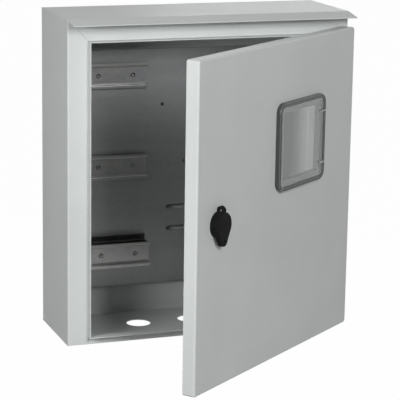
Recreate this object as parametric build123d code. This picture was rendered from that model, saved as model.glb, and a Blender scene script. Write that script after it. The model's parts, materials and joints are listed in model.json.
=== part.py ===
from build123d import *
import os

# Wall-hung steel meter enclosure with its door standing open, in millimetres.
# Origin: middle of the four wall holes, on the rear face. +X right, +Z up, the door faces -Y.

# Body
body_width = 400.0
body_height = 444.0
body_depth = 131.0
sheet = 1.2
bend_radius = 1.8
eave_reach = 30.0
eave_drop = 5.4
side_flange = 28.7
top_flange = 30.6
bottom_flange = 12.5
lip_reach = 13.0
header_return = 16.0
seam_gap = 0.2
mitre_gap = 0.5
cut_past = 1.0

# Holes in the body
wall_hole_diameter = 9.0
wall_hole_margin_x = 40.0
wall_hole_margin_z = 22.0
cable_hole_diameter = 34.0
cable_hole_pitch = 76.0
cable_hole_count = 3
cable_hole_setback = 73.0

# Mounting plate and its studs
plate_side_margin = 30.0
plate_lower_margin = 46.0
plate_upper_margin = 60.0
plate_corner = 3.0
plate_thickness = 1.5
plate_standoff = 11.3
plate_stud_inset = 15.0
stud_diameter = 6.0
stud_clearance = 0.25
stud_tip = 2.5
nut_flats = 10.0
nut_thickness = 5.0
washer_diameter = 12.0
washer_thickness = 1.6

# Holes in the mounting plate for the meter, placed from the plate's edges and middle
meter_slot_length = 28.0
meter_slot_width = 6.5
meter_slot_rises = (79.0, 110.0)
meter_slot_spread = 70.0
meter_edge_inset = 108.0
meter_hook_drop = 66.0
meter_hook_length = 40.0
pilot_hole_diameter = 4.5
upper_pilot_spread = 91.0
upper_pilot_drop = 79.0
middle_pilot_spread = 58.0
middle_pilot_rise = 7.0

# Top-hat rails, the riser of the lowest rail, and the blind rivets
rail_height = 35.0
rail_channel = 27.0
rail_depth = 7.5
rail_thickness = 1.0
rail_bend = 1.0
rail_length = 91.0
rail_edge_inset = 72.0
bottom_rail_rise = 49.2
middle_rail_rise = 4.0
top_rail_drop = 35.5
riser_height = 16.0
riser_crown = 31.0
riser_flange = 8.5
riser_length = 88.0
rivet_pitch = 50.0
rivet_diameter = 4.0
rivet_head_diameter = 6.6
rivet_head_height = 1.3
rivet_head_slope = 0.8
rivet_bore = 2.2
rivet_clearance = 0.05

# Door
door_bottom_margin = 3.0
door_top_margin = 20.0
door_depth = 18.0
door_gap = 1.0
door_hinge_corner = 5.0
door_fold_radius = 2.4
door_corner_excess = 0.4
hinge_side_relief = 1.5
photo_opening = 38.0

# Door gasket
gasket_width = 8.0
gasket_gap = 0.3
gasket_corner = 8.0

# Hinges
hinge_edge_inset = 5.5
hinge_axis_forward = 10.0
hinge_end_margin = 62.0
hinge_knuckle_radius = 3.5
hinge_leaf = 5.0
hinge_play = 0.3
hinge_base_width = 15.0
hinge_arm_width = 19.0
hinge_pin_diameter = 4.0
hinge_pin_head = 1.5
hinge_pin_fit = 0.05
hinge_press_fit = 0.01
hinge_notch_margin = 1.0
hinge_notch_web = 3.0

# Window
window_width = 123.0
window_height = 117.0
window_corner = 13.0
window_hinge_inset = 150.5
window_top_drop = 136.8
bezel_band = 5.2
bezel_height = 6.5
bezel_groove = 1.2
bezel_round = 1.4
bezel_least_corner = 2.0
bezel_overlap = 3.2
bezel_fit = 0.15
bezel_rear_overlap = 3.0
bezel_rear_height = 4.0
bezel_ledge = 8.5
bezel_step = 1.0
pane_recess = 1.0
pane_thickness = 2.4
pane_fit = 0.1
pane_chamfer = 0.6
clip_width = 2.2
clip_height = 0.8
clip_spacing = 70.0
clip_edge_inset = 1.5
clip_round = 0.4

# Lock
lock_edge_inset = 46.0
lock_rise = 2.2
lock_disc_radius = 16.5
lock_disc_height = 4.6
lock_disc_chamfer = 0.8
lock_barrel_radius = 9.0
lock_barrel_fit = 0.2
lock_barrel_rear = 1.5
lock_nut_flats = 22.0
lock_nut_thickness = 5.0
lock_thread_fit = 0.05
plug_radius = 6.0
plug_fit = 0.05
plug_collar_radius = 7.5
plug_collar_height = 1.6
key_slot_length = 8.0
key_slot_width = 1.6
key_slot_depth = 7.0
cam_square = 7.0
cam_fit = 0.1
cam_thickness = 2.5
cam_clearance = 1.2
cam_hub_radius = 8.0
cam_tip_radius = 6.0
cam_length = 25.0
cam_screw_diameter = 4.0
cam_screw_head_diameter = 9.0
cam_screw_head_height = 2.6
cam_screw_length = 9.0
cam_screw_chamfer = 0.9

# Swinging dust cover of the lock
cover_thickness = 7.2
cover_gap = 0.3
cover_wall = 2.2
cover_round = 1.6
cover_tip_radius = 7.0
cover_tip_drop = 20.0
cover_seal_hole = 3.0
cover_axis_rise = 22.4
cover_knuckle_radius = 2.0
cover_pin_diameter = 1.6
cover_pin_fit = 0.04
ear_leg = 3.3
ear_width = 5.6
ear_middle = 2.2
ear_play = 0.3
ear_root = 2.5
ear_off_door = 0.3
ear_off_cover = 0.6

# Earth studs
earth_stud_length = 20.0
body_earth_height = 32.0
body_earth_setback = 60.0
door_earth_inset = 80.0
door_earth_height = 28.0

# Planes and places worked out from the sizes above
half_width = body_width / 2
half_height = body_height / 2
floor_z = -half_height
front_y = -body_depth
lip_y = front_y - lip_reach
wall_hole_spacing_x = body_width - 2 * wall_hole_margin_x
wall_hole_spacing_z = body_height - 2 * wall_hole_margin_z
opening_half = half_width - side_flange
opening_top = half_height - top_flange
opening_bottom = floor_z + bottom_flange
plate_rear_y = -sheet - plate_standoff
plate_front_y = plate_rear_y - plate_thickness
plate_width = body_width - 2 * plate_side_margin
plate_height = body_height - plate_lower_margin - plate_upper_margin
plate_bottom_z = floor_z + plate_lower_margin
plate_top_z = plate_bottom_z + plate_height
plate_centre_z = (plate_bottom_z + plate_top_z) / 2
meter_centre_x = plate_width / 2 - meter_edge_inset
rail_centre_x = -plate_width / 2 + rail_edge_inset
rail_levels = {
    "bottom": plate_bottom_z + bottom_rail_rise,
    "middle": plate_centre_z + middle_rail_rise,
    "top": plate_top_z - top_rail_drop,
}
door_width = body_width
door_rear_y = front_y - door_gap
door_front_y = door_rear_y - door_depth
door_inner_y = door_front_y + sheet
door_bottom_z = floor_z + door_bottom_margin
door_top_z = half_height - door_top_margin
door_height = door_top_z - door_bottom_z
door_centre_z = (door_top_z + door_bottom_z) / 2
door_free_corner = door_fold_radius + door_corner_excess
hinge_x = door_width / 2 - hinge_edge_inset
hinge_y = front_y - hinge_axis_forward
hinge_levels = {"lower": door_bottom_z + hinge_end_margin, "upper": door_top_z - hinge_end_margin}
window_x = door_width / 2 - window_hinge_inset
window_z = door_top_z - window_top_drop
lock_x = -door_width / 2 + lock_edge_inset
lock_z = door_centre_z + lock_rise
cam_front_y = front_y + sheet + cam_clearance
cam_rear_y = cam_front_y + cam_thickness
barrel_rear_y = cam_front_y - lock_barrel_rear
cover_rear_y = door_front_y - lock_disc_height - cover_gap
cover_front_y = cover_rear_y - cover_thickness
arch_front_y = cover_front_y + ear_off_cover
arch_rear_y = door_front_y - ear_off_door
arch_radius = (arch_rear_y - arch_front_y) / 2
cover_axis_y = (arch_rear_y + arch_front_y) / 2
cover_axis_z = lock_z + cover_axis_rise
arch_z = cover_axis_z - arch_radius + ear_leg / 2


def folded_sheet(points, thickness, radius, plane, width):
    """A strip of sheet bent along the mid-line through points, its width centred on the plane."""
    strip = plane * trace(FilletPolyline(*points, radius=radius), thickness)
    return extrude(strip, width / 2, both=True)


def facing(sketch, rear_y, forward_y):
    """A sketch drawn in X and Z, extruded along Y between two depths."""
    return extrude(Plane.XZ.offset(-rear_y) * sketch, rear_y - forward_y)


def level(sketch, low_z, high_z):
    """A sketch drawn in X and Y, extruded along Z between two heights."""
    return extrude(Plane.XY.offset(low_z) * sketch, high_z - low_z)


def rounded_panel(width, height, radius, x, z):
    return Pos(x, z) * RectangleRounded(width, height, radius)


def tapered_outline(radius, end_radius, reach):
    """A disc drawn out downwards to a smaller round end."""
    return make_hull((Circle(radius) + Pos(0, -reach) * Circle(end_radius)).edges())


def corner_places(spacing_x, spacing_z, centre_z=0.0):
    return [(sx * spacing_x / 2, centre_z + sz * spacing_z / 2) for sx in (-1, 1) for sz in (-1, 1)]


def round_holes(diameter, places, rear_y, forward_y):
    return [facing(Pos(x, z) * Circle(diameter / 2), rear_y, forward_y) for x, z in places]


def hex_nut(flats, bore_radius):
    return RegularPolygon(flats / 2, 6, major_radius=False) - Circle(bore_radius)


def mitre_region(shrink):
    """The top strip of the front frame, between the mitred joints at its two upper corners."""
    run = side_flange / top_flange
    overrun = bend_radius + sheet
    outer = half_width - shrink
    inner = opening_half - run * overrun - shrink
    low = opening_top - overrun
    crown = half_height + sheet
    outline = Polyline(
        (-outer - run * sheet, crown), (outer + run * sheet, crown), (inner, low), (-inner, low), close=True
    )
    return facing(make_face(outline), front_y + header_return + sheet, lip_y - sheet)


# Sheet body


def side_back_shell():
    """Back and both sides from one sheet, with front flanges turned forward into a lip."""
    mid = sheet / 2
    right = [
        (half_width - mid, -mid),
        (half_width - mid, front_y + mid),
        (opening_half + mid, front_y + mid),
        (opening_half + mid, lip_y),
    ]
    left = [(-x, y) for x, y in reversed(right)]
    shell = folded_sheet(left + right, sheet, bend_radius, Plane.XY, body_height - 2 * sheet)
    front_zone = facing(Rectangle(body_width, body_height), front_y + sheet, lip_y - sheet)
    shell -= mitre_region(0.0) & front_zone
    lip_foot = opening_bottom - sheet - floor_z
    for side in (-1, 1):
        foot = Pos(side * opening_half, floor_z + lip_foot / 2) * Rectangle(4 * sheet, lip_foot)
        shell -= facing(foot, front_y, lip_y - sheet)
    places = corner_places(wall_hole_spacing_x, wall_hole_spacing_z)
    return shell - round_holes(wall_hole_diameter, places, sheet, -2 * sheet)


def roof_sheet():
    """Top sheet that runs on past the front and slopes down as a rain eave."""
    mid_z = half_height - sheet / 2
    points = [(0.0, mid_z), (front_y, mid_z), (front_y - eave_reach, mid_z - eave_drop)]
    return folded_sheet(points, sheet, bend_radius, Plane.YZ, body_width)


def front_header():
    """Top strip of the front frame, hung from the roof and mitred to the side flanges."""
    mid = sheet / 2
    under_roof = half_height - sheet - mid
    points = [
        (front_y + header_return, under_roof),
        (front_y + mid, under_roof),
        (front_y + mid, opening_top + mid),
        (lip_y, opening_top + mid),
    ]
    strip = folded_sheet(points, sheet, bend_radius, Plane.YZ, body_width)
    strip &= mitre_region(mitre_gap)
    inner_half = half_width - sheet - bend_radius
    for side in (-1, 1):
        end = Rectangle(2 * bend_radius, 2 * top_flange)
        end = Pos(side * (inner_half + bend_radius), half_height) * end
        strip -= facing(end, front_y + header_return + sheet, front_y + sheet)
    return strip


def front_sill():
    """Bottom strip of the front frame: it stands on the floor's edge and folds forward into the lip."""
    mid = sheet / 2
    points = [
        (front_y + mid, floor_z + sheet),
        (front_y + mid, opening_bottom - mid),
        (lip_y, opening_bottom - mid),
    ]
    length = body_width - 2 * (side_flange + seam_gap)
    return folded_sheet(points, sheet, bend_radius, Plane.YZ, length)


def floor_sheet():
    """Flat floor with open cable holes."""
    floor = Pos(0.0, -body_depth / 2) * Rectangle(body_width, body_depth)
    floor = level(floor, floor_z, floor_z + sheet)
    first = -(cable_hole_count - 1) / 2
    for index in range(cable_hole_count):
        spot = Pos((first + index) * cable_hole_pitch, front_y + cable_hole_setback)
        floor -= level(spot * Circle(cable_hole_diameter / 2), floor_z - sheet, floor_z + 2 * sheet)
    return floor


# Mounting plate and what it carries


def stud_places():
    spacing_x = plate_width - 2 * plate_stud_inset
    spacing_z = plate_height - 2 * plate_stud_inset
    return corner_places(spacing_x, spacing_z, plate_centre_z)


def rivet_places(name):
    z = rail_levels[name]
    return [(rail_centre_x + side * rivet_pitch / 2, z) for side in (-1, 1)]


def mounting_plate():
    """Galvanised plate on four studs, pierced for the meter and for the rail rivets."""
    outline = rounded_panel(plate_width, plate_height, plate_corner, 0.0, plate_centre_z)
    plate = facing(outline, plate_rear_y, plate_front_y)
    through = (plate_rear_y + cut_past, plate_front_y - cut_past)
    plate -= round_holes(stud_diameter + 2 * stud_clearance, stud_places(), *through)
    for name in ("middle", "top"):
        plate -= round_holes(rivet_diameter + 2 * rivet_clearance, rivet_places(name), *through)
    for side in (-1, 1):
        x = meter_centre_x + side * meter_slot_spread
        for rise in meter_slot_rises:
            slot = Pos(x, plate_bottom_z + rise) * SlotOverall(meter_slot_length, meter_slot_width)
            plate -= facing(slot, *through)
        pilots = [
            (meter_centre_x + side * upper_pilot_spread, plate_top_z - upper_pilot_drop),
            (meter_centre_x + side * middle_pilot_spread, plate_centre_z + middle_pilot_rise),
        ]
        plate -= round_holes(pilot_hole_diameter, pilots, *through)
    hook = SlotOverall(meter_hook_length, meter_slot_width, rotation=90)
    return plate - facing(Pos(meter_centre_x, plate_top_z - meter_hook_drop) * hook, *through)


def plate_studs():
    """Four studs welded to the back, reaching through the plate and its nuts."""
    tip_y = plate_front_y - washer_thickness - nut_thickness - stud_tip
    solids = []
    for x, z in stud_places():
        stud = facing(Pos(x, z) * Circle(stud_diameter / 2), -sheet, tip_y)
        solids.append(chamfer(stud.faces().sort_by(Axis.Y)[0].edges(), stud_diameter / 8))
    return solids


def plate_hardware(outline, rear_y, forward_y):
    """One nut or washer on every plate stud."""
    return [facing(Pos(x, z) * outline, rear_y, forward_y) for x, z in stud_places()]


def top_hat_rail(name, seat_y):
    """A short 35 mm rail whose web lies on seat_y, with two rivet holes."""
    mid = rail_thickness / 2
    z = rail_levels[name]
    wall = rail_channel / 2 - mid
    flange_y = seat_y - rail_depth + mid
    half = [(flange_y, rail_height / 2), (flange_y, wall), (seat_y - mid, wall)]
    points = [(y, z + rise) for y, rise in half] + [(y, z - rise) for y, rise in reversed(half)]
    rail = folded_sheet(points, rail_thickness, rail_bend, Plane.YZ.offset(rail_centre_x), rail_length)
    web = (seat_y + cut_past, seat_y - rail_thickness - cut_past)
    return rail - round_holes(rivet_diameter + 2 * rivet_clearance, rivet_places(name), *web)


def rail_riser():
    """Hat-section riser welded to the plate, which brings the bottom rail forward."""
    mid = sheet / 2
    z = rail_levels["bottom"]
    wall = riser_crown / 2 - mid
    crown_y = plate_front_y - riser_height + mid
    foot_y = plate_front_y - mid
    half = [(foot_y, riser_crown / 2 + riser_flange), (foot_y, wall), (crown_y, wall)]
    points = [(y, z + rise) for y, rise in half] + [(y, z - rise) for y, rise in reversed(half)]
    riser = folded_sheet(points, sheet, bend_radius, Plane.YZ.offset(rail_centre_x), riser_length)
    crown = (crown_y + mid + cut_past, crown_y - mid - cut_past)
    return riser - round_holes(rivet_diameter + 2 * rivet_clearance, rivet_places("bottom"), *crown)


def blind_rivet(x, z, web_front_y, grip):
    """Hollow rivet with a low conical head in front and an upset tail behind."""
    head = facing(Circle(rivet_head_diameter / 2), web_front_y, web_front_y - rivet_head_height)
    head = chamfer(head.faces().sort_by(Axis.Y)[0].edges(), rivet_head_slope)
    shank = facing(Circle(rivet_diameter / 2), web_front_y + grip, web_front_y)
    tail_y = web_front_y + grip
    tail = facing(Circle(rivet_head_diameter / 2), tail_y + rivet_head_height, tail_y)
    bore = facing(Circle(rivet_bore / 2), web_front_y + grip / 2, web_front_y - 2 * rivet_head_height)
    return Pos(x, 0, z) * (head + shank + tail - bore)


def rail_rivets():
    solids = []
    seats = {
        "top": (plate_front_y, plate_thickness),
        "middle": (plate_front_y, plate_thickness),
        "bottom": (plate_front_y - riser_height, sheet),
    }
    for name, (seat_y, backing) in seats.items():
        for x, z in rivet_places(name):
            solids.append(blind_rivet(x, z, seat_y - rail_thickness, rail_thickness + backing))
    return solids


# Hinges


def hinge_outline(foot_y, foot_left, foot_right):
    """A lug that runs from a welded foot to the knuckle round the hinge axis."""
    knuckle = Pos(hinge_x, hinge_y) * Circle(hinge_knuckle_radius)
    foot = Polyline((foot_left, foot_y), (foot_right, foot_y), (hinge_x, hinge_y), close=True)
    return make_hull((knuckle + make_face(foot)).edges())


def hinge_base(z):
    """Lug welded to the right flange, with the pin pressed into it."""
    right = hinge_x + hinge_knuckle_radius / 2
    outline = hinge_outline(front_y, right - hinge_base_width, right)
    bore = Pos(hinge_x, hinge_y) * Circle(hinge_pin_diameter / 2 + hinge_press_fit)
    return level(outline - bore, z - hinge_leaf, z)


def hinge_arm(z):
    """Lug welded inside the door, turning on the pin just above the base."""
    right = door_width / 2 - door_fold_radius - sheet
    outline = hinge_outline(door_inner_y, right - hinge_arm_width, right)
    bore = Pos(hinge_x, hinge_y) * Circle(hinge_pin_diameter / 2 + hinge_pin_fit)
    return level(outline - bore, z + hinge_play, z + hinge_play + hinge_leaf)


def hinge_pin(z):
    top = z + hinge_play + hinge_leaf + hinge_pin_head
    shank = level(Circle(hinge_pin_diameter / 2), z - hinge_leaf, top)
    shank = chamfer(shank.faces().sort_by(Axis.Z)[-1].edges(), hinge_pin_diameter / 8)
    head = level(Circle(hinge_knuckle_radius), z - hinge_leaf - hinge_pin_head, z - hinge_leaf)
    return Pos(hinge_x, hinge_y, 0) * (shank + head)


# Door, modelled shut


def door_panel():
    """Folded tray with welded, rounded corners, cut for the window, the lock and the hinges."""
    outline = Pos(0.0, door_centre_z) * Rectangle(door_width, door_height)
    outline = fillet(outline.vertices().sort_by(Axis.X)[:2], door_free_corner)
    outline = fillet(outline.vertices().sort_by(Axis.X)[-2:], door_hinge_corner)
    block = facing(outline, door_rear_y, door_front_y)
    block = fillet(block.faces().sort_by(Axis.Y)[0].edges(), door_fold_radius)
    tray = offset(block, amount=-sheet, openings=block.faces().sort_by(Axis.Y)[-1])
    hinge_edge = Pos(door_width / 2, door_centre_z) * Rectangle(4 * sheet, door_height + sheet)
    tray -= facing(hinge_edge, door_rear_y + cut_past, door_rear_y - hinge_side_relief)
    for z in hinge_levels.values():
        low = z - hinge_leaf - hinge_notch_margin
        high = z + hinge_notch_margin
        notch = Pos(door_width / 2, (low + high) / 2) * Rectangle(4 * sheet, high - low)
        tray -= facing(notch, door_rear_y + cut_past, door_front_y + hinge_notch_web)
    face = (door_inner_y + cut_past, door_front_y - cut_past)
    tray -= facing(bezel_cutout(0.0), *face)
    return tray - facing(at_lock(Circle(lock_barrel_radius + lock_barrel_fit)), *face)


def door_gasket():
    """Foam ring on the door that meets the edge of the body's lip."""
    lip_half = opening_half + sheet / 2
    top = opening_top + sheet / 2
    bottom = opening_bottom - sheet / 2
    spot = Pos(0.0, (top + bottom) / 2)
    outer = RectangleRounded(2 * lip_half + gasket_width, top - bottom + gasket_width, gasket_corner)
    inner = RectangleRounded(
        2 * lip_half - gasket_width, top - bottom - gasket_width, gasket_corner - gasket_width / 2
    )
    return facing(spot * (outer - inner), lip_y - gasket_gap, door_inner_y)


# Window


def bezel_outline(inset):
    """The bezel's outer outline drawn in by an inset on every side."""
    radius = max(window_corner - inset, bezel_least_corner)
    spot = Pos(window_x, window_z)
    return spot * RectangleRounded(window_width - 2 * inset, window_height - 2 * inset, radius)


def bezel_cutout(shrink):
    return bezel_outline(bezel_overlap + shrink)


def window_bezel():
    """Grey moulding with two ridges, a neck through the door, a lip inside and a ledge for the pane."""
    crest_y = door_front_y - bezel_height
    rear_y = door_inner_y + bezel_rear_height
    front = facing(bezel_outline(0.0), door_front_y, crest_y)
    front = fillet(front.faces().sort_by(Axis.Y)[0].edges(), bezel_round)
    middle = bezel_band / 2
    channel = bezel_outline(middle - bezel_groove / 2) - bezel_outline(middle + bezel_groove / 2)
    front -= facing(channel, crest_y + bezel_groove, crest_y - cut_past)
    neck = facing(bezel_cutout(bezel_fit), door_inner_y, door_front_y)
    rear = facing(bezel_outline(bezel_overlap - bezel_rear_overlap), rear_y, door_inner_y)
    body = front + neck + rear
    body -= facing(bezel_outline(bezel_band), pane_rear_y() + pane_fit, crest_y - cut_past)
    step = bezel_outline(bezel_band + bezel_ledge / 2)
    body -= facing(step, pane_rear_y() + bezel_step, crest_y - cut_past)
    return body - facing(bezel_outline(bezel_band + bezel_ledge), rear_y + cut_past, crest_y - cut_past)


def pane_rear_y():
    return door_front_y - bezel_height + pane_recess + pane_thickness


def window_pane():
    """Clear pane that lies on the bezel's ledge."""
    rear = pane_rear_y()
    pane = facing(bezel_outline(bezel_band + pane_fit), rear, rear - pane_thickness)
    return chamfer(pane.faces().sort_by(Axis.Y)[0].edges(), pane_chamfer)


def pane_clips():
    """Two narrow clips along the hinge side that lie on the bezel's ridges and step down onto the pane."""
    crest_y = door_front_y - bezel_height
    pane_front = pane_rear_y() - pane_thickness
    edge_x = window_x + window_width / 2
    inner_x = edge_x - bezel_band - bezel_ledge
    step_x = edge_x - bezel_band - 2 * pane_fit
    clips = []
    for end in (-1, 1):
        z = window_z + end * clip_spacing / 2
        bar = clip_bar(inner_x, edge_x - clip_edge_inset, z, crest_y, crest_y - clip_height)
        bar = fillet(bar.faces().sort_by(Axis.Y)[0].edges(), clip_round)
        clips.append(bar + clip_bar(inner_x, step_x, z, pane_front, crest_y))
    return clips


def clip_bar(left, right, z, rear_y, forward_y):
    bar = Pos((left + right) / 2, z) * Rectangle(right - left, clip_width)
    return facing(bar, rear_y, forward_y)


# Lock


def at_lock(sketch):
    return Pos(lock_x, lock_z) * sketch


def ear_profile(side):
    """Side view of half an arch: a leg in front (-1) or behind (1) that curves up to the knuckle on top."""
    ring = Circle(arch_radius) - Circle(arch_radius - ear_leg)
    quarter = ring & (Pos(side * arch_radius / 2, arch_radius / 2) * Rectangle(arch_radius, arch_radius))
    foot_drop = arch_z - (lock_z + lock_disc_radius - ear_root)
    leg = Pos(side * (arch_radius - ear_leg / 2), -foot_drop / 2) * Rectangle(ear_leg, foot_drop)
    knuckle = Pos(0.0, cover_axis_z - arch_z) * Circle(cover_knuckle_radius)
    return Pos(cover_axis_y, arch_z) * (quarter + leg + knuckle)


def ear(side, width, offset_x):
    profile = Plane.YZ.offset(lock_x + offset_x) * ear_profile(side)
    return extrude(profile, width / 2, both=True)


def cover_axis_rod(radius, length):
    """A rod along the dust cover's hinge axis, centred on the lock."""
    spot = Plane.YZ.offset(lock_x) * (Pos(cover_axis_y, cover_axis_z) * Circle(radius))
    return extrude(spot, length / 2, both=True)


def cover_pin_bore(fit):
    return cover_axis_rod(cover_pin_diameter / 2 + fit, 2 * ear_width)


def lock_housing():
    """Black rosette with a threaded barrel through the door and the middle hinge ear on top."""
    disc_front = door_front_y - lock_disc_height
    disc = facing(at_lock(Circle(lock_disc_radius)), door_front_y, disc_front)
    disc = chamfer(disc.faces().sort_by(Axis.Y)[0].edges(), lock_disc_chamfer)
    barrel = facing(at_lock(Circle(lock_barrel_radius)), barrel_rear_y, door_front_y)
    middle_ear = ear(1, ear_middle, 0.0)
    bore = facing(at_lock(Circle(plug_radius + plug_fit)), barrel_rear_y + cut_past, disc_front - cut_past)
    seat = at_lock(Circle(plug_collar_radius + plug_fit))
    seat = facing(seat, disc_front + plug_collar_height, disc_front - cut_past)
    return disc + barrel + middle_ear - bore - seat - cover_pin_bore(cover_pin_fit / 4)


def lock_nut():
    outline = at_lock(hex_nut(lock_nut_flats, lock_barrel_radius + lock_thread_fit).rotate(Axis.Z, 30))
    return facing(outline, door_inner_y + lock_nut_thickness, door_inner_y)


def lock_plug():
    """Turning core with the key slot in front and a square end for the cam."""
    disc_front = door_front_y - lock_disc_height
    collar_rear = disc_front + plug_collar_height - plug_fit
    core = facing(at_lock(Circle(plug_radius)), barrel_rear_y + lock_barrel_rear, collar_rear)
    collar = facing(at_lock(Circle(plug_collar_radius)), collar_rear, disc_front)
    square = facing(at_lock(Rectangle(cam_square, cam_square)), cam_rear_y - cam_fit, cam_front_y)
    plug = core + collar + square
    slot = at_lock(Rectangle(key_slot_width, key_slot_length))
    plug -= facing(slot, disc_front + key_slot_depth, disc_front - cut_past)
    thread = at_lock(Circle(cam_screw_diameter / 2 + lock_thread_fit))
    return plug - facing(thread, cam_rear_y + cut_past, cam_rear_y - cam_screw_length - cut_past)


def lock_cam():
    """Flat tongue, hanging down while the lock is open; turned left it reaches behind the flange."""
    outline = tapered_outline(cam_hub_radius, cam_tip_radius, cam_length)
    hole = Rectangle(cam_square + 2 * cam_fit, cam_square + 2 * cam_fit)
    return facing(at_lock(outline - hole), cam_rear_y, cam_front_y)


def cam_screw():
    crown_y = cam_rear_y + cam_screw_head_height
    head = facing(at_lock(Circle(cam_screw_head_diameter / 2)), crown_y, cam_rear_y)
    head = chamfer(head.faces().sort_by(Axis.Y)[-1].edges(), cam_screw_chamfer)
    slot = at_lock(Rectangle(cam_screw_head_diameter, cam_screw_head_height / 3))
    head -= facing(slot, crown_y + cut_past, cam_rear_y + cam_screw_head_height / 2)
    shank = facing(at_lock(Circle(cam_screw_diameter / 2)), cam_rear_y, cam_rear_y - cam_screw_length)
    return head + shank


def lock_cover():
    """Dust cover with a thumb tongue and a sealing hole, hung on the pin by two ears."""
    outline = tapered_outline(lock_disc_radius, cover_tip_radius, cover_tip_drop)
    cap = facing(at_lock(outline), cover_rear_y, cover_front_y)
    cap = fillet(cap.faces().sort_by(Axis.Y)[0].edges(), cover_round)
    hollow = at_lock(Circle(lock_disc_radius - cover_wall))
    cap -= facing(hollow, cover_rear_y + cut_past, cover_front_y + cover_wall)
    ear_side = (ear_width - ear_middle) / 2 - ear_play
    for side in (-1, 1):
        offset_x = side * (ear_middle / 2 + ear_play + ear_side / 2)
        cap += ear(-1, ear_side, offset_x)
    seal = at_lock(Pos(0, -cover_tip_drop) * Circle(cover_seal_hole / 2))
    cap -= facing(seal, cover_rear_y + cut_past, cover_front_y - cut_past)
    return cap - cover_pin_bore(cover_pin_fit)


def lock_cover_pin():
    return cover_axis_rod(cover_pin_diameter / 2, ear_width)


# Earth studs


def stud_with_nut(length, plane):
    """An M6 stud on a plane and the washer and nut clamped at its foot."""
    radius = stud_diameter / 2
    stud = extrude(plane * Circle(radius), length)
    bore = radius + stud_clearance
    washer = extrude(plane * (Circle(washer_diameter / 2) - Circle(bore)), washer_thickness)
    nut = extrude(plane.offset(washer_thickness) * hex_nut(nut_flats, bore), nut_thickness)
    return stud, [washer, nut]


def body_earth():
    origin = (half_width - sheet, front_y + body_earth_setback, floor_z + body_earth_height)
    return stud_with_nut(earth_stud_length, Plane(origin, x_dir=(0, 0, 1), z_dir=(-1, 0, 0)))


def door_earth():
    origin = (door_width / 2 - door_earth_inset, door_inner_y, door_bottom_z + door_earth_height)
    return stud_with_nut(earth_stud_length, Plane(origin, x_dir=(1, 0, 0), z_dir=(0, 1, 0)))


def fixed_pieces():
    radius = stud_diameter / 2 + stud_clearance
    nut = hex_nut(nut_flats, radius)
    washer = Circle(washer_diameter / 2) - Circle(radius)
    washer_front_y = plate_front_y - washer_thickness
    earth_stud, earth_nut = body_earth()
    pieces = {
        "side_back_shell": side_back_shell(),
        "roof_sheet": roof_sheet(),
        "front_header": front_header(),
        "front_sill": front_sill(),
        "floor_sheet": floor_sheet(),
        "mounting_plate": mounting_plate(),
        "plate_studs": plate_studs(),
        "plate_rear_nuts": plate_hardware(nut, plate_rear_y + nut_thickness, plate_rear_y),
        "plate_washers": plate_hardware(washer, plate_front_y, washer_front_y),
        "plate_front_nuts": plate_hardware(nut, washer_front_y, washer_front_y - nut_thickness),
        "top_din_rail": top_hat_rail("top", plate_front_y),
        "middle_din_rail": top_hat_rail("middle", plate_front_y),
        "bottom_din_rail": top_hat_rail("bottom", plate_front_y - riser_height),
        "rail_riser": rail_riser(),
        "rail_rivets": rail_rivets(),
        "body_earth_stud": earth_stud,
        "body_earth_nut": earth_nut,
    }
    for name, z in hinge_levels.items():
        pieces[f"{name}_hinge_base"] = hinge_base(z)
        pieces[f"{name}_hinge_pin"] = hinge_pin(z)
    return pieces


def door_pieces():
    earth_stud, earth_nut = door_earth()
    pieces = {
        "door_panel": door_panel(),
        "door_gasket": door_gasket(),
        "window_bezel": window_bezel(),
        "window_pane": window_pane(),
        "pane_clips": pane_clips(),
        "lock_housing": lock_housing(),
        "lock_nut": lock_nut(),
        "lock_plug": lock_plug(),
        "lock_cam": lock_cam(),
        "cam_screw": cam_screw(),
        "lock_cover": lock_cover(),
        "lock_cover_pin": lock_cover_pin(),
        "door_earth_stud": earth_stud,
        "door_earth_nut": earth_nut,
    }
    for name, z in hinge_levels.items():
        pieces[f"{name}_hinge_arm"] = hinge_arm(z)
    return pieces


def as_shape(piece):
    """Like fasteners, given as a list, become one group of solids."""
    if isinstance(piece, list):
        return Compound(children=[solid for item in piece for solid in item.solids()])
    return piece


def main():
    os.makedirs("parts", exist_ok=True)
    swing = Pos(hinge_x, hinge_y, 0) * Rot(0, 0, photo_opening) * Pos(-hinge_x, -hinge_y, 0)
    pieces = {name: as_shape(piece) for name, piece in fixed_pieces().items()}
    pieces.update({name: swing * as_shape(piece) for name, piece in door_pieces().items()})
    for name, piece in pieces.items():
        export_step(piece, f"parts/{name}.step")


main()
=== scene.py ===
"""Looks, light and camera for the wall-hung electrical enclosure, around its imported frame."""

import json
import math

import bmesh
import bpy
from mathutils import Matrix, Vector


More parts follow.
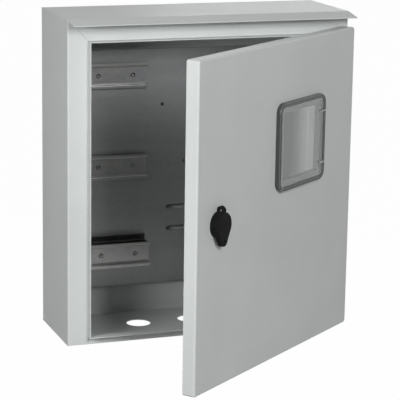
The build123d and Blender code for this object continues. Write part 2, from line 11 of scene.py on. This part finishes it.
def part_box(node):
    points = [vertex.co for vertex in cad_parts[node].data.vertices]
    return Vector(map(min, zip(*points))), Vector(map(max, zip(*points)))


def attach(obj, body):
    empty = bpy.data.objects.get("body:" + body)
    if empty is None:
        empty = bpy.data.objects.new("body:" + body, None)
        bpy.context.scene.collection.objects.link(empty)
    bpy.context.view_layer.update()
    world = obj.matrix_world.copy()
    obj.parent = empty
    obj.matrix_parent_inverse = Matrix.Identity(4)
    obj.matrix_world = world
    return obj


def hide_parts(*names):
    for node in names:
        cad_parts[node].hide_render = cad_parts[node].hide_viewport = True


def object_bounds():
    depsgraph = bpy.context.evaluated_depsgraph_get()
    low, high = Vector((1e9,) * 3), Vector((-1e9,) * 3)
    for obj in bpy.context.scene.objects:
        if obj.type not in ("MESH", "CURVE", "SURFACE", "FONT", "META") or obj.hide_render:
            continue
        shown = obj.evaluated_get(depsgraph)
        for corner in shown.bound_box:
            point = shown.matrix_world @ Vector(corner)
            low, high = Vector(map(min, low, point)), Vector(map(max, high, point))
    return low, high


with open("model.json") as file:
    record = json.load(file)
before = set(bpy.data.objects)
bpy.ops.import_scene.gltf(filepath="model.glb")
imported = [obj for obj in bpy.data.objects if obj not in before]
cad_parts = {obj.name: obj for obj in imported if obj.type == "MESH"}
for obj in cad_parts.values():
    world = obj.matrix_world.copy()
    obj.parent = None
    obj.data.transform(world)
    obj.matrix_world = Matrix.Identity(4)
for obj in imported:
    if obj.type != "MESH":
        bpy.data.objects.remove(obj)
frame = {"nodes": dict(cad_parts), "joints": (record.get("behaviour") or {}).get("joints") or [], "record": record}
cad_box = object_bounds()

# Camera, in metres and in the part's frame
camera_place = Vector((-0.8312, -2.3770, 0.5192))
camera_right = Vector((0.94065, -0.33904, 0.01520))
camera_up = Vector((0.06210, 0.21600, 0.97442))
sensor_width = 36.0
focal_length = 161.73

# Paint of the body and the door
paint = (0.537, 0.559, 0.551)

# Stage
floor_drop = 0.6
floor_size = 60.0
floor_albedo = 0.45
floor_glow = 0.985
ambient_strength = 0.08

# Lamps: direction from the object by azimuth and elevation, distance, width, height and power
lamps = {
    "front": {
        "azimuth": 1.0, "elevation": 23.5, "distance": 2.8,
        "width": 0.6, "height": 0.9, "power": 51.0,
    },
    "left": {
        "azimuth": -57.0, "elevation": 16.0, "distance": 1.3,
        "width": 0.6, "height": 0.3, "power": 9.2,
    },
    "top": {
        "azimuth": 0.0, "elevation": 84.0, "distance": 2.4,
        "width": 1.2, "height": 1.2, "power": 8.0,
    },
    "rear": {
        "azimuth": 143.0, "elevation": 3.0, "distance": 3.0,
        "width": 2.2, "height": 1.0, "power": 42.0,
    },
}

# Door gasket: width of its band, and corner radius of the band's middle line
gasket_width = 0.008
gasket_corner = 0.006
gasket_corner_steps = 8
gasket_run = 0.03
foam_profile = (
    (-1.0, 0.0), (-1.0, 0.55), (-0.93, 0.8), (-0.75, 0.95), (-0.45, 1.0), (-0.2, 0.92),
    (0.0, 0.86),
    (0.2, 0.92), (0.45, 1.0), (0.75, 0.95), (0.93, 0.8), (1.0, 0.55), (1.0, 0.0),
)

# Welds at the corners of the front frame, from the body's flange widths
side_flange = 0.0287
top_flange = 0.0306
bottom_flange = 0.0125
lip_reach = 0.013
weld_length = 0.007
weld_radius = 0.0012
weld_rings = 28
weld_sides = 12
weld_ripples = 5
weld_ripple_rise = 0.14
weld_blunt_end = 0.08
weld_taper = 0.4

# Screw threads of the studs
thread_pitch = 0.001
thread_depth = 0.0006
thread_rows = 6
thread_sides = 24
thread_chamfer = 0.0012


# Node helpers


def make_material(name):
    """A material with an empty Principled shader and the object's own coordinates."""
    material = bpy.data.materials.new(name)
    material.use_nodes = True
    tree = material.node_tree
    shader = tree.nodes["Principled BSDF"]
    coordinates = tree.nodes.new("ShaderNodeTexCoord").outputs["Object"]
    return material, tree, shader, coordinates


def add_noise(tree, coordinates, scale, detail=2.0, stretch=(1.0, 1.0, 1.0)):
    """Noise between 0 and 1, its coordinates stretched along the axes."""
    mapping = tree.nodes.new("ShaderNodeMapping")
    mapping.inputs["Scale"].default_value = stretch
    noise = tree.nodes.new("ShaderNodeTexNoise")
    noise.inputs["Scale"].default_value = scale
    noise.inputs["Detail"].default_value = detail
    tree.links.new(coordinates, mapping.inputs["Vector"])
    tree.links.new(mapping.outputs["Vector"], noise.inputs["Vector"])
    return noise.outputs["Fac"]


def add_cells(tree, coordinates, scale, output="Color"):
    """One output of a pattern of cells."""
    cells = tree.nodes.new("ShaderNodeTexVoronoi")
    cells.inputs["Scale"].default_value = scale
    tree.links.new(coordinates, cells.inputs["Vector"])
    return cells.outputs[output]


def add_range(tree, value, low, high, from_low=0.3, from_high=0.7):
    """A value between from_low and from_high, mapped to low and high."""
    mapped = tree.nodes.new("ShaderNodeMapRange")
    mapped.inputs["From Min"].default_value = from_low
    mapped.inputs["From Max"].default_value = from_high
    mapped.inputs["To Min"].default_value = low
    mapped.inputs["To Max"].default_value = high
    tree.links.new(value, mapped.inputs["Value"])
    return mapped.outputs["Result"]


def add_ramp(tree, value, stops):
    """A colour ramp through (position, colour) stops."""
    ramp = tree.nodes.new("ShaderNodeValToRGB")
    elements = ramp.color_ramp.elements
    while len(elements) < len(stops):
        elements.new(1.0)
    for element, (position, colour) in zip(elements, stops):
        element.position = position
        element.color = (*colour, 1.0)
    tree.links.new(value, ramp.inputs["Fac"])
    return ramp.outputs["Color"]


def add_bump(tree, shader, height, strength, distance):
    """A bump on top of any bump the shader already has."""
    bump = tree.nodes.new("ShaderNodeBump")
    bump.inputs["Strength"].default_value = strength
    bump.inputs["Distance"].default_value = distance
    tree.links.new(height, bump.inputs["Height"])
    if shader.inputs["Normal"].is_linked:
        tree.links.new(shader.inputs["Normal"].links[0].from_socket, bump.inputs["Normal"])
    tree.links.new(bump.outputs["Normal"], shader.inputs["Normal"])


def add_value(tree, operation, first, second):
    """A sum, product or the like of two values, each a number or a socket."""
    node = tree.nodes.new("ShaderNodeMath")
    node.operation = operation
    for socket, value in zip(node.inputs, (first, second)):
        if isinstance(value, float):
            socket.default_value = value
        else:
            tree.links.new(value, socket)
    return node.outputs["Value"]


def add_direct_rays(tree):
    """1 for rays from the camera, from a reflection and through clear material, 0 for the rest."""
    seen = tree.nodes.new("ShaderNodeLightPath").outputs
    direct = add_value(tree, "MAXIMUM", seen["Is Camera Ray"], seen["Is Glossy Ray"])
    return add_value(tree, "MAXIMUM", direct, seen["Is Transmission Ray"])


# Materials


def powder_coat(name, tone):
    """Textured powder paint: fine orange peel, faint clouds of tone and gloss."""
    material, tree, shader, coordinates = make_material(name)
    clouds = add_noise(tree, coordinates, 9.0, 3.0)
    dark = tuple(channel * 0.965 for channel in tone)
    light = tuple(channel * 1.03 for channel in tone)
    colour = add_ramp(tree, clouds, ((0.3, dark), (0.7, light)))
    tree.links.new(colour, shader.inputs["Base Color"])
    gloss = add_noise(tree, coordinates, 160.0, 3.0)
    tree.links.new(add_range(tree, gloss, 0.42, 0.52), shader.inputs["Roughness"])
    shader.inputs["Specular IOR Level"].default_value = 0.22
    peel = add_noise(tree, coordinates, 900.0, 2.0)
    add_bump(tree, shader, peel, 0.16, 0.0002)
    waves = add_noise(tree, coordinates, 22.0, 1.0)
    add_bump(tree, shader, waves, 0.10, 0.0008)
    return material


def galvanised_sheet(name):
    """Zinc-dipped sheet: dull grey with crystal spangle and rolling streaks."""
    material, tree, shader, coordinates = make_material(name)
    spangle = add_range(tree, add_cells(tree, coordinates, 220.0), 0.0, 0.5, 0.0, 1.0)
    streaks = add_noise(tree, coordinates, 90.0, 4.0, (0.06, 1.0, 1.0))
    tone = add_value(tree, "ADD", spangle, add_range(tree, streaks, 0.0, 0.5))
    colour = add_ramp(tree, tone, ((0.0, (0.245, 0.247, 0.25)), (1.0, (0.285, 0.287, 0.29))))
    tree.links.new(colour, shader.inputs["Base Color"])
    shader.inputs["Metallic"].default_value = 0.8
    tree.links.new(add_range(tree, tone, 0.34, 0.42, 0.0, 1.0), shader.inputs["Roughness"])
    add_bump(tree, shader, streaks, 0.03, 0.0002)
    return material


def zinc_plate(name, brightness, smooth=0.29, rough=0.35):
    """Zinc plating with a faint warm and cool cast, between two values of roughness."""
    material, tree, shader, coordinates = make_material(name)
    cast = add_noise(tree, coordinates, 90.0, 2.0)
    cool = tuple(channel * brightness for channel in (0.56, 0.57, 0.59))
    warm = tuple(channel * brightness for channel in (0.66, 0.65, 0.62))
    tree.links.new(add_ramp(tree, cast, ((0.3, cool), (0.7, warm))), shader.inputs["Base Color"])
    shader.inputs["Metallic"].default_value = 1.0
    wear = add_noise(tree, coordinates, 240.0, 2.0)
    tree.links.new(add_range(tree, wear, smooth, rough), shader.inputs["Roughness"])
    return material


def nickel_plate(name):
    """Nickel-plated lock core, turned and lightly brushed."""
    material, tree, shader, coordinates = make_material(name)
    brush = add_noise(tree, coordinates, 500.0, 3.0, (1.0, 1.0, 0.1))
    colour = add_ramp(tree, brush, ((0.3, (0.58, 0.56, 0.52)), (0.7, (0.70, 0.68, 0.64))))
    tree.links.new(colour, shader.inputs["Base Color"])
    shader.inputs["Metallic"].default_value = 1.0
    tree.links.new(add_range(tree, brush, 0.29, 0.36), shader.inputs["Roughness"])
    return material


def foam_rubber(name):
    """Closed-cell foam with open pores at its skin."""
    material, tree, shader, coordinates = make_material(name)
    pores = add_cells(tree, coordinates, 1600.0, "Distance")
    patches = add_noise(tree, coordinates, 120.0, 3.0)
    colour = add_ramp(tree, patches, ((0.3, (0.016, 0.016, 0.017)), (0.7, (0.030, 0.030, 0.031))))
    tree.links.new(colour, shader.inputs["Base Color"])
    tree.links.new(add_range(tree, patches, 0.78, 0.92), shader.inputs["Roughness"])
    add_bump(tree, shader, pores, 0.5, 0.0003)
    return material


def moulded_rubber(name):
    """Dark grey moulded bezel with a satin, slightly speckled skin."""
    material, tree, shader, coordinates = make_material(name)
    speckle = add_noise(tree, coordinates, 420.0, 3.0)
    colour = add_ramp(tree, speckle, ((0.3, (0.031, 0.032, 0.033)), (0.7, (0.043, 0.044, 0.045))))
    tree.links.new(colour, shader.inputs["Base Color"])
    tree.links.new(add_range(tree, speckle, 0.29, 0.34), shader.inputs["Roughness"])
    shader.inputs["Specular IOR Level"].default_value = 0.9
    add_bump(tree, shader, add_noise(tree, coordinates, 1500.0, 2.0), 0.12, 0.0001)
    return material


def black_moulding(name):
    """Black satin plastic with a fine spark-eroded grain."""
    material, tree, shader, coordinates = make_material(name)
    patches = add_noise(tree, coordinates, 80.0, 2.0)
    colour = add_ramp(tree, patches, ((0.3, (0.009, 0.009, 0.010)), (0.7, (0.014, 0.014, 0.015))))
    tree.links.new(colour, shader.inputs["Base Color"])
    grain = add_noise(tree, coordinates, 1800.0, 3.0)
    tree.links.new(add_range(tree, grain, 0.42, 0.54), shader.inputs["Roughness"])
    shader.inputs["Specular IOR Level"].default_value = 0.02
    add_bump(tree, shader, grain, 0.15, 0.0001)
    return material


def clear_plastic(name):
    """Clear plastic with faint smears."""
    material, tree, shader, coordinates = make_material(name)
    smears = add_noise(tree, coordinates, 40.0, 4.0, (1.0, 1.0, 0.4))
    colour = add_ramp(tree, smears, ((0.3, (0.90, 0.92, 0.92)), (0.7, (0.95, 0.97, 0.97))))
    tree.links.new(colour, shader.inputs["Base Color"])
    tree.links.new(add_range(tree, smears, 0.01, 0.05), shader.inputs["Roughness"])
    shader.inputs["Transmission Weight"].default_value = 1.0
    shader.inputs["IOR"].default_value = 1.49
    return material


def pale_moulding(name):
    """Milky plastic, a little mottled, that lets some light in."""
    material, tree, shader, coordinates = make_material(name)
    mottle = add_noise(tree, coordinates, 600.0, 3.0)
    colour = add_ramp(tree, mottle, ((0.3, (0.34, 0.345, 0.34)), (0.7, (0.42, 0.425, 0.42))))
    tree.links.new(colour, shader.inputs["Base Color"])
    tree.links.new(add_range(tree, mottle, 0.3, 0.42), shader.inputs["Roughness"])
    shader.inputs["Transmission Weight"].default_value = 0.25
    add_bump(tree, shader, mottle, 0.08, 0.0001)
    return material


def stage_floor():
    """A pale floor that keeps the object's shadow and shows nothing from below."""
    material = bpy.data.materials.new("stage_floor")
    material.use_nodes = True
    tree = material.node_tree
    tree.nodes.clear()
    share = add_value(tree, "MULTIPLY", add_direct_rays(tree), floor_glow)
    matt = tree.nodes.new("ShaderNodeBsdfDiffuse")
    matt.inputs["Color"].default_value = (floor_albedo, floor_albedo, floor_albedo, 1.0)
    glow = tree.nodes.new("ShaderNodeEmission")
    pale = tree.nodes.new("ShaderNodeMixShader")
    clear = tree.nodes.new("ShaderNodeBsdfTransparent")
    side = tree.nodes.new("ShaderNodeNewGeometry")
    both = tree.nodes.new("ShaderNodeMixShader")
    out = tree.nodes.new("ShaderNodeOutputMaterial")
    tree.links.new(share, pale.inputs["Fac"])
    tree.links.new(matt.outputs["BSDF"], pale.inputs[1])
    tree.links.new(glow.outputs["Emission"], pale.inputs[2])
    tree.links.new(side.outputs["Backfacing"], both.inputs["Fac"])
    tree.links.new(pale.outputs["Shader"], both.inputs[1])
    tree.links.new(clear.outputs["BSDF"], both.inputs[2])
    tree.links.new(both.outputs["Shader"], out.inputs["Surface"])
    return material


# Pieces made here


def shut_turn():
    """The turn that brings a door piece from the rest pose to the shut door."""
    hinge = next(joint for joint in frame["joints"] if joint["name"] == "door_hinge")
    place = Vector(hinge["pos_m"])
    turn = Matrix.Rotation(math.radians(hinge["range_deg"][0]), 4, Vector(hinge["axis"]))
    return Matrix.Translation(place) @ turn @ Matrix.Translation(-place)


def shut_box(node):
    """Lowest and highest corner of a door node, with the door shut."""
    turn = shut_turn()
    points = [turn @ vertex.co for vertex in frame["nodes"][node].data.vertices]
    low = Vector(min(point[axis] for point in points) for axis in range(3))
    high = Vector(max(point[axis] for point in points) for axis in range(3))
    return low, high


def rounded_loop(low, high, inset, radius):
    """Points (x, z) and outward directions round a rectangle with rounded corners."""
    left, right = low.x + inset, high.x - inset
    bottom, top = low.z + inset, high.z - inset
    corners = (
        (right - radius, top - radius, 0.0), (left + radius, top - radius, 90.0),
        (left + radius, bottom + radius, 180.0), (right - radius, bottom + radius, 270.0),
    )
    stations = []
    for index, (x, z, start) in enumerate(corners):
        for step in range(gasket_corner_steps + 1):
            angle = math.radians(start + 90.0 * step / gasket_corner_steps)
            out = Vector((math.cos(angle), 0.0, math.sin(angle)))
            stations.append((Vector((x, 0.0, z)) + out * radius, out))
        last_point, last_out = stations[-1]
        next_x, next_z, _ = corners[(index + 1) % len(corners)]
        end = Vector((next_x, 0.0, next_z)) + last_out * radius
        count = int((end - last_point).length / gasket_run)
        for step in range(1, count):
            stations.append((last_point.lerp(end, step / count), last_out))
    return stations


def foam_gasket():
    """Foam strip round the inside of the door, with the line that the lip has pressed into it."""
    low, high = shut_box("door_gasket")
    half = gasket_width / 2
    depth = high.y - low.y
    stations = rounded_loop(low, high, half, gasket_corner)
    back = shut_turn().inverted()
    mesh = bmesh.new()
    rings = []
    for point, out in stations:
        ring = []
        for across, rise in foam_profile:
            spot = point + out * (across * half)
            spot.y = low.y + rise * depth
            ring.append(mesh.verts.new(back @ spot))
        rings.append(ring)
    for ring, following in zip(rings, rings[1:] + rings[:1]):
        for index in range(len(ring)):
            after = (index + 1) % len(ring)
            mesh.faces.new((ring[index], following[index], following[after], ring[after]))
    bmesh.ops.recalc_face_normals(mesh, faces=mesh.faces)
    return finished_mesh("foam_gasket", mesh)


def weld_bead(name, start, end):
    """A short painted weld: a low rounded seam with overlapping ripples."""
    along = end - start
    side = along.orthogonal().normalized()
    up = along.normalized().cross(side)
    mesh = bmesh.new()
    rings = []
    for step in range(weld_rings + 1):
        share = step / weld_rings
        taper = max(math.sin(math.pi * share), weld_blunt_end) ** weld_taper
        ripple = 1.0 + weld_ripple_rise * abs(math.cos(math.pi * weld_ripples * share))
        radius = weld_radius * taper * ripple
        ring = []
        for corner in range(weld_sides):
            angle = 2 * math.pi * corner / weld_sides
            offset = side * math.cos(angle) + up * math.sin(angle)
            ring.append(mesh.verts.new(start + along * share + offset * radius))
        rings.append(ring)
    for ring, following in zip(rings, rings[1:]):
        for index in range(weld_sides):
            after = (index + 1) % weld_sides
            mesh.faces.new((ring[index], ring[after], following[after], following[index]))
    mesh.faces.new(reversed(rings[0]))
    mesh.faces.new(rings[-1])
    bmesh.ops.recalc_face_normals(mesh, faces=mesh.faces)
    return finished_mesh(name, mesh)


def frame_welds():
    """Welds at the inner ends of the mitred seams above and of the sill's seams below."""
    shell_low, shell_high = (Vector(corner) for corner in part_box("side_back_shell"))
    roof_top = Vector(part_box("roof_sheet")[1]).z
    floor_low = Vector(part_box("floor_sheet")[0]).z
    front = Vector(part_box("front_header")[0]).y + lip_reach
    welds = []
    for word, edge, inward in (("left", shell_low.x, 1.0), ("right", shell_high.x, -1.0)):
        inner = edge + inward * side_flange
        corner = Vector((inner, front, roof_top - top_flange))
        slant = Vector((-inward * side_flange, 0.0, top_flange)).normalized()
        welds.append(weld_bead(f"upper_{word}_weld", corner, corner + slant * weld_length))
        foot = Vector((inner, front, floor_low + bottom_flange))
        welds.append(weld_bead(f"lower_{word}_weld", foot, foot - Vector((0.0, 0.0, weld_length))))
    return welds


def stud_runs(node, axis, turn, cornered):
    """Start, end and radius of a node's studs, one or one in each corner, measured after a turn."""
    points = [turn @ vertex.co for vertex in frame["nodes"][node].data.vertices]
    across = [index for index in range(3) if index != axis]
    middle = []
    for index in across:
        values = [point[index] for point in points]
        middle.append((min(values) + max(values)) / 2)
    groups = {}
    for point in points:
        corner = "only"
        if cornered:
            corner = tuple(point[index] > half for index, half in zip(across, middle))
        groups.setdefault(corner, []).append(point)
    runs = []
    for group in groups.values():
        low = Vector(min(point[index] for point in group) for index in range(3))
        high = Vector(max(point[index] for point in group) for index in range(3))
        start = (low + high) / 2
        end = start.copy()
        start[axis], end[axis] = low[axis], high[axis]
        back = turn.inverted()
        runs.append((back @ start, back @ end, (high - low)[across[0]] / 2))
    return runs


def add_thread(mesh, start, end, radius):
    """A rod from start to end with a thread round it and chamfered tips."""
    along = end - start
    length = along.length
    side = along.orthogonal().normalized()
    up = along.normalized().cross(side)
    rings = []
    count = round(length / thread_pitch * thread_rows)
    for step in range(count + 1):
        distance = length * step / count
        tip = max(thread_chamfer - min(distance, length - distance), 0.0)
        ring = []
        for corner in range(thread_sides):
            share = corner / thread_sides
            turns = distance / thread_pitch - share
            groove = abs(2.0 * (turns - math.floor(turns)) - 1.0) * thread_depth
            reach = radius - max(groove, tip)
            offset = side * math.cos(2 * math.pi * share) + up * math.sin(2 * math.pi * share)
            ring.append(mesh.verts.new(start + along * (distance / length) + offset * reach))
        rings.append(ring)
    for ring, following in zip(rings, rings[1:]):
        for index in range(thread_sides):
            after = (index + 1) % thread_sides
            mesh.faces.new((ring[index], ring[after], following[after], following[index]))
    mesh.faces.new(reversed(rings[0]))
    mesh.faces.new(rings[-1])


def threaded_studs(name, node, axis, turn, cornered):
    """Threaded rods in the places of a node's plain studs."""
    mesh = bmesh.new()
    for start, end, radius in stud_runs(node, axis, turn, cornered):
        add_thread(mesh, start, end, radius)
    bmesh.ops.recalc_face_normals(mesh, faces=mesh.faces)
    return finished_mesh(name, mesh)


def finished_mesh(name, mesh):
    """An object from a bmesh, shaded smooth."""
    data = bpy.data.meshes.new(name)
    mesh.to_mesh(data)
    mesh.free()
    piece = bpy.data.objects.new(name, data)
    bpy.context.scene.collection.objects.link(piece)
    for polygon in data.polygons:
        polygon.use_smooth = True
    return piece


# Stage, light and camera


def build_floor():
    data = bpy.data.meshes.new("floor")
    half = floor_size / 2
    level = cad_box[0].z - floor_drop
    corners = [(x * half, y * half, level) for x, y in ((-1, -1), (1, -1), (1, 1), (-1, 1))]
    data.from_pydata(corners, [], [(0, 1, 2, 3)])
    piece = bpy.data.objects.new("floor", data)
    piece.data.materials.append(stage_floor())
    bpy.context.scene.collection.objects.link(piece)


def build_world():
    """White where it is seen or mirrored, a plain grey dome for the rest of the light."""
    world = bpy.data.worlds.new("studio")
    bpy.context.scene.world = world
    world.use_nodes = True
    tree = world.node_tree
    strength = add_range(tree, add_direct_rays(tree), ambient_strength, 1.0, 0.0, 1.0)
    background = tree.nodes["Background"]
    background.inputs["Color"].default_value = (1.0, 1.0, 1.0, 1.0)
    tree.links.new(strength, background.inputs["Strength"])


def add_lamp(name, azimuth, elevation, distance, width, height, power):
    """A soft box that faces the object's middle."""
    lamp = bpy.data.lights.new(name, "AREA")
    lamp.shape = "RECTANGLE"
    lamp.size = width
    lamp.size_y = height
    lamp.energy = power
    around = math.radians(azimuth)
    up = math.radians(elevation)
    away = Vector((math.sin(around) * math.cos(up), -math.cos(around) * math.cos(up), math.sin(up)))
    holder = bpy.data.objects.new(name, lamp)
    holder.location = (cad_box[0] + cad_box[1]) / 2 + away * distance
    holder.rotation_mode = "QUATERNION"
    holder.rotation_quaternion = (-away).to_track_quat("-Z", "Y")
    bpy.context.scene.collection.objects.link(holder)


def build_camera():
    data = bpy.data.cameras.new("camera")
    data.sensor_width = sensor_width
    data.lens = focal_length
    camera = bpy.data.objects.new("camera", data)
    back = camera_right.cross(camera_up)
    axes = Matrix((camera_right, camera_up, back)).transposed()
    camera.matrix_world = Matrix.Translation(camera_place) @ axes.to_4x4()
    bpy.context.scene.collection.objects.link(camera)
    bpy.context.scene.camera = camera


finishes = {
    "painted_shell": powder_coat("shell_powder_coat", paint),
    "painted_door": powder_coat("door_powder_coat", paint),
    "galvanised": galvanised_sheet("galvanised_sheet"),
    "zinc_hardware": zinc_plate("zinc_plate", 1.0),
    "foam_seal": foam_rubber("foam_rubber"),
    "bezel_rubber": moulded_rubber("moulded_rubber"),
    "clear_pane": clear_plastic("clear_plastic"),
    "black_plastic": black_moulding("black_moulding"),
    "lock_metal": nickel_plate("nickel_plate"),
}
rail_zinc = zinc_plate("rail_zinc", 0.58)
own_finishes = {
    "top_din_rail": rail_zinc,
    "middle_din_rail": rail_zinc,
    "bottom_din_rail": rail_zinc,
    # The riser's plating is made very dark as painted shade, for the shade that falls above the lowest rail.
    "rail_riser": zinc_plate("shade_darkened_zinc", 0.13),
    "rail_rivets": zinc_plate("rivet_zinc", 0.5, 0.18, 0.24),
    "pane_clips": pale_moulding("pale_moulding"),
}
for part in frame["record"]["subparts"]:
    for holder in frame["nodes"][part["node"]].material_slots:
        holder.material = own_finishes.get(part["node"], finishes[part["material_slot"]])

gasket = foam_gasket()
gasket.data.materials.append(finishes["foam_seal"])
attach(gasket, "door")
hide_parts("door_gasket")

still = Matrix.Identity(4)
for name, node, axis, turn, cornered, body in (
    ("threaded_plate_studs", "plate_studs", 1, still, True, "cabinet"),
    ("threaded_body_stud", "body_earth_stud", 0, still, False, "cabinet"),
    ("threaded_door_stud", "door_earth_stud", 1, shut_turn(), False, "door"),
):
    studs = threaded_studs(name, node, axis, turn, cornered)
    studs.data.materials.append(finishes["zinc_hardware"])
    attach(studs, body)
    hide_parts(node)

for weld in frame_welds():
    weld.data.materials.append(finishes["painted_shell"])
    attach(weld, "cabinet")

build_floor()
build_world()
for lamp_name, setting in lamps.items():
    add_lamp(lamp_name, **setting)
build_camera()
bpy.context.scene.view_settings.view_transform = "Standard"
